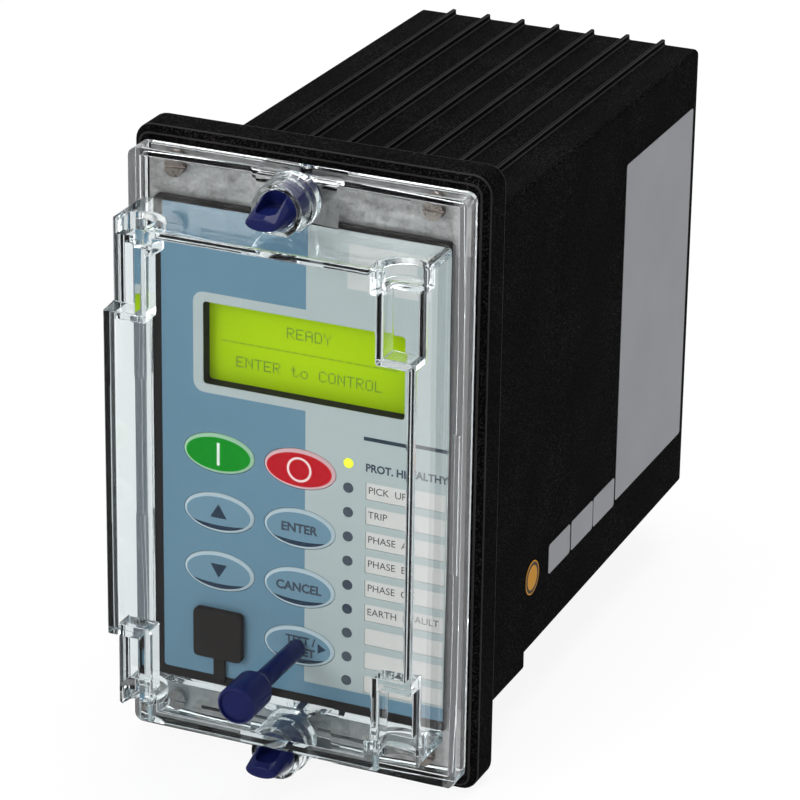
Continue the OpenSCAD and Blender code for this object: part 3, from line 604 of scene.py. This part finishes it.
def lettering(name, words, cap, x, z, face, body, finish, align="LEFT", weight=0.0, stretch=1.0):
    bpy.ops.object.select_all(action="DESELECT")
    bpy.ops.object.text_add()
    piece = bpy.context.object
    piece.data.body = words
    piece.data.size = cap / letters["capShare"] * mm
    piece.data.align_x = align
    piece.data.offset = weight * mm
    piece.data.extrude = letters["depth"] / 2 * mm
    piece.data.resolution_u = letters["curve"]
    bpy.ops.object.convert(target="MESH")
    piece = bpy.context.object
    piece.scale.x = stretch
    piece.rotation_euler.x = math.pi / 2
    piece.location = Vector((x, face - letters["depth"] / 2, z)) * mm
    wear(piece, finish)
    return settle(piece, name, body)


keyWords = [
    ("enter_word", "ENTER", 2.5, 0.1, -18.4, "enter_key", 1.0),
    ("cancel_word", "CANCEL", 2.5, 0.1, -35.9, "cancel_key", 0.98),
    ("test_word", "TEST /", 2.3, 0.7, -51.6, "reset_key", 0.98),
    ("reset_word", "RESET", 2.3, 0.7, -55.0, "reset_key", 0.98)]
for name, words, cap, x, z, body, stretch in keyWords:
    lettering(name, words, cap, x, z, letters["keyFace"], body, darkInk, "CENTER",
              letters["keyWeight"], stretch)

legend = {"x": 19.9, "first": 4.4, "pitch": 7.14, "drop": 0.7, "cap": 2.0,
          "words": ["PICK  UP", "TRIP", "PHASE  A", "PHASE  B", "PHASE  C", "EARTH  FAULT"],
          "healthy": {"x": 19.2, "drop": 1.3, "cap": 2.15, "weight": 0.1, "stretch": 0.95}}
healthy = legend["healthy"]
lettering("healthy_words", "PROT. HEALTHY", healthy["cap"], healthy["x"], legend["first"] - healthy["drop"],
          letters["filmFace"], "case", darkInk, "LEFT", healthy["weight"], healthy["stretch"])
for row, words in enumerate(legend["words"], 1):
    z = legend["first"] - row * legend["pitch"] - legend["drop"]
    lettering("legend_words_%d" % row, words, legend["cap"], legend["x"], z, letters["cardFace"], "case",
              legendInk)
print("lettering placed")


# Dot-matrix rows of the display

display = {
    "face": -11.2, "dot": 0.45, "gap": 0.04, "depth": 0.03, "cell": (6, 7),
    "rows": [("display_top_row", "READY", 0.8, 36.6), ("display_low_row", "ENTER to CONTROL", 0.8, 25.8)],
    "dashes": {"count": 20, "x": 0.8, "z": 31.2, "length": 52.0, "tall": 0.36}}
glyphs = {
    "A": "01110 10001 10001 11111 10001 10001 10001", "C": "01110 10001 10000 10000 10000 10001 01110",
    "D": "11110 10001 10001 10001 10001 10001 11110", "E": "11111 10000 10000 11110 10000 10000 11111",
    "L": "10000 10000 10000 10000 10000 10000 11111", "N": "10001 11001 10101 10101 10011 10001 10001",
    "O": "01110 10001 10001 10001 10001 10001 01110", "R": "11110 10001 10001 11110 10100 10010 10001",
    "T": "11111 00100 00100 00100 00100 00100 00100", "Y": "10001 10001 01010 00100 00100 00100 00100",
    "o": "00000 00000 01110 10001 10001 10001 01110", "t": "01000 01000 11100 01000 01000 01001 00110"}
cellWide, cellTall = display["cell"]  # the last column of a cell stays empty


def dotGrid(name, columns, rows, pitchX, pitchZ, x, z, wanted):
    s = display
    bpy.ops.object.select_all(action="DESELECT")
    bpy.ops.mesh.primitive_grid_add(x_subdivisions=columns, y_subdivisions=rows, size=1)
    piece = bpy.context.object
    piece.scale = (columns * pitchX * mm, rows * pitchZ * mm, 1)
    bpy.ops.object.transform_apply(location=False, rotation=False, scale=True)

    def blank(face):
        column = int(face.center.x / mm / pitchX + columns / 2)
        return not wanted(column, int(rows / 2 - face.center.y / mm / pitchZ))

    selectOnly(piece, "FACE", blank)
    bpy.ops.mesh.delete(type="FACE")
    bpy.ops.mesh.select_all(action="SELECT")
    bpy.ops.mesh.inset(thickness=s["gap"] * mm, use_individual=True)
    bpy.ops.mesh.select_all(action="INVERT")
    bpy.ops.mesh.delete(type="FACE")
    bpy.ops.object.mode_set(mode="OBJECT")
    modify(piece, "SOLIDIFY", {"thickness": s["depth"] * mm, "offset": 0})
    piece.rotation_euler.x = math.pi / 2
    piece.location = Vector((x, s["face"] - s["depth"] / 2, z)) * mm
    wear(piece, displayInk)
    return settle(piece, name, "case")


def glyphDot(words, column, row):
    letter, place = words[column // cellWide], column % cellWide
    return place < cellWide - 1 and letter != " " and glyphs[letter].split()[row][place] == "1"


for name, words, x, z in display["rows"]:
    dotGrid(name, cellWide * len(words), cellTall, display["dot"], display["dot"], x, z,
            lambda column, row, words=words: glyphDot(words, column, row))
dashes = display["dashes"]
dotGrid("display_dashes", dashes["count"] * cellWide, 1, dashes["length"] / dashes["count"] / cellWide,
        dashes["tall"], dashes["x"], dashes["z"], lambda column, row: column % cellWide < cellWide - 1)
print("display rows placed")


# Plates on the case's side

sidePlates = {
    "draft": 0.5, "rearX": 44.5, "rearY": 163.4, "thick": 0.14, "corner": 1.0, "cornerSegments": 5,
    "plates": [("rating_plate", (104.7, 160.3), (-50.0, 54.0)), ("side_plate_1", (51.5, 68.0), (-51.0, -42.0)),
               ("side_plate_2", (69.0, 86.0), (-51.0, -42.0)), ("side_plate_3", (86.6, 103.6), (-51.0, -42.0))],
    "plateDark": tone(128, 129, 134), "plateLight": tone(142, 143, 148), "cloud": 0.04, "fine": 2.4,
    "plateRough": 0.42, "roughSwing": 0.16, "plateShine": 0.3, "bump": (0.01, 0.2)}
sideDisc = {
    "y": 39.0, "z": -46.5, "radius": 5.0, "sides": 64, "rounding": 0.04, "ringIn": 0.9, "ringHalf": 0.5,
    "face": tone(190, 132, 12), "ring": tone(40, 32, 18), "rough": 0.4, "shine": 0.08}


def plateFinish(s):
    f = Finish("plateFilm")
    fine = f.noise(s["fine"], 3)
    cloud = f.noise(s["cloud"])
    return f.close(f.surface({
        "Base Color": f.mix(cloud, s["plateDark"], s["plateLight"]),
        "Roughness": s["plateRough"] + fine * s["roughSwing"],
        "Specular IOR Level": s["plateShine"]}, fine, *s["bump"]))


def discFinish(s, film):
    f = Finish("discFilm")
    x, y, z = f.axes()
    away = ((y - s["y"]) ** 2 + (z - s["z"]) ** 2) ** 0.5
    fine = f.noise(film["fine"], 3)
    ring = (s["ringHalf"] - abs(away - s["radius"] + s["ringIn"])).edge()
    return f.close(f.surface({
        "Base Color": f.mix(ring, s["face"], s["ring"]), "Roughness": s["rough"] + fine * film["roughSwing"],
        "Specular IOR Level": s["shine"]}, fine, *film["bump"]))


def onSide(piece, name, y, z, finish, s):  # turned and set on the drafted side wall
    wall = s["rearX"] + (s["rearY"] - y) * math.tan(math.radians(s["draft"]))
    piece.rotation_euler.z = math.radians(s["draft"])
    piece.location = Vector((wall + s["thick"] / 2, y, z)) * mm
    wear(piece, finish)
    return settle(piece, name, "case")


plateFilm = plateFinish(sidePlates)
thick = sidePlates["thick"] * mm
for name, spanY, spanZ in sidePlates["plates"]:
    bpy.ops.object.select_all(action="DESELECT")
    bpy.ops.mesh.primitive_cube_add(size=1)
    plate = bpy.context.object
    plate.scale = (thick, (spanY[1] - spanY[0]) * mm, (spanZ[1] - spanZ[0]) * mm)
    bpy.ops.object.transform_apply(location=False, rotation=False, scale=True)
    spots = [vertex.co.x for vertex in plate.data.vertices]
    selectOnly(plate, "EDGE", lambda edge: abs(spots[edge.vertices[0]] - spots[edge.vertices[1]]) > thick / 2)
    bpy.ops.mesh.bevel(offset=sidePlates["corner"] * mm, segments=sidePlates["cornerSegments"], affect="EDGES")
    bpy.ops.object.mode_set(mode="OBJECT")
    onSide(plate, name, sum(spanY) / 2, sum(spanZ) / 2, plateFilm, sidePlates)

bpy.ops.object.select_all(action="DESELECT")
bpy.ops.mesh.primitive_cylinder_add(vertices=sideDisc["sides"], radius=sideDisc["radius"] * mm, depth=thick,
                                    rotation=(0, math.pi / 2, 0))
disc = bpy.context.object
bpy.ops.object.transform_apply(location=False, rotation=True, scale=False)
modify(disc, "BEVEL", {"width": sideDisc["rounding"] * mm, "segments": 2, "limit_method": "ANGLE"})
onSide(disc, "side_disc", sideDisc["y"], sideDisc["z"], discFinish(sideDisc, sidePlates), sidePlates)
print("side plates placed")


# Floor, light and camera

studio = {
    "floorZ": -88.5, "floorSize": 12.0, "floorTone": (0.93, 0.93, 0.93, 1), "floorRough": 0.9,
    "floorShine": 0.1, "floorGlow": 0.9, "white": (1, 1, 1, 1), "world": 0.32, "backdrop": 1.0,
    "lamps": [("keyLamp", (-0.9, -1.9, 1.1), 1.3, 31.0), ("fillLamp", (1.6, -1.3, 0.7), 1.2, 4.2),
              ("topLamp", (0.1, 0.5, 1.9), 1.2, 34.0)],
    "bounces": 24, "clearLayers": 32}
backdropRays = ("Camera", "Glossy", "Transmission")  # the white backdrop shows in metal and glass too

bpy.ops.object.select_all(action="DESELECT")
bpy.ops.mesh.primitive_plane_add(size=studio["floorSize"], location=(0, 0, studio["floorZ"] * mm))
floor = bpy.context.object
floor.name = "floor"
f = Finish("studioFloor")
paint = f.surface({"Base Color": studio["floorTone"], "Roughness": studio["floorRough"],
                   "Specular IOR Level": studio["floorShine"]})
glow = f.node("ShaderNodeEmission", {}, {"Color": studio["white"], "Strength": studio["backdrop"]})
floor.data.materials.append(f.close(f.blend(f.seenBy(*backdropRays) * studio["floorGlow"], paint, glow)))

for name, place, size, power in studio["lamps"]:
    bpy.ops.object.light_add(type="AREA", location=place)
    lamp = bpy.context.object
    lamp.name = name
    lamp.data.size = size
    lamp.data.energy = power
    lamp.rotation_euler = (-Vector(place)).to_track_quat("-Z", "Y").to_euler()

world = bpy.data.worlds.new("studio")
bpy.context.scene.world = world
f = Finish("studio", world)
plain, white = (f.node("ShaderNodeBackground", {}, {"Color": studio["white"], "Strength": studio[key]})
                for key in ("world", "backdrop"))
f.node("ShaderNodeOutputWorld", {}, {"Surface": f.blend(f.seenBy(*backdropRays), plain, white)})
bpy.context.scene.view_settings.view_transform = "Standard"
for kind in ("max", "transmission", "glossy"):  # the cover has many clear layers
    setattr(bpy.context.scene.cycles, kind + "_bounces", studio["bounces"])
bpy.context.scene.cycles.transparent_max_bounces = studio["clearLayers"]

# The camera's turn in degrees, and its place from the frame's origin in millimetres
shot = {"azimuth": 23.51, "elevation": 22.93, "roll": 0.85, "back": 1097.83, "right": 19.90, "up": 12.91,
        "lens": 183.0, "sensor": 36.0}
azimuth, elevation, roll = (math.radians(shot[key]) for key in ("azimuth", "elevation", "roll"))
right = Vector((math.cos(azimuth), math.sin(azimuth), 0))
back = Vector((math.sin(azimuth) * math.cos(elevation), -math.cos(azimuth) * math.cos(elevation),
               math.sin(elevation)))
up = back.cross(right)
eye = (back * shot["back"] + right * shot["right"] + up * shot["up"]) * mm
right, up = (right * math.cos(roll) + up * math.sin(roll), up * math.cos(roll) - right * math.sin(roll))
bpy.ops.object.camera_add(location=eye)
camera = bpy.context.object
camera.rotation_euler = Matrix((right, up, back)).transposed().to_euler()
camera.data.lens = shot["lens"]
camera.data.sensor_width = shot["sensor"]
bpy.context.scene.camera = camera
print("studio ready")
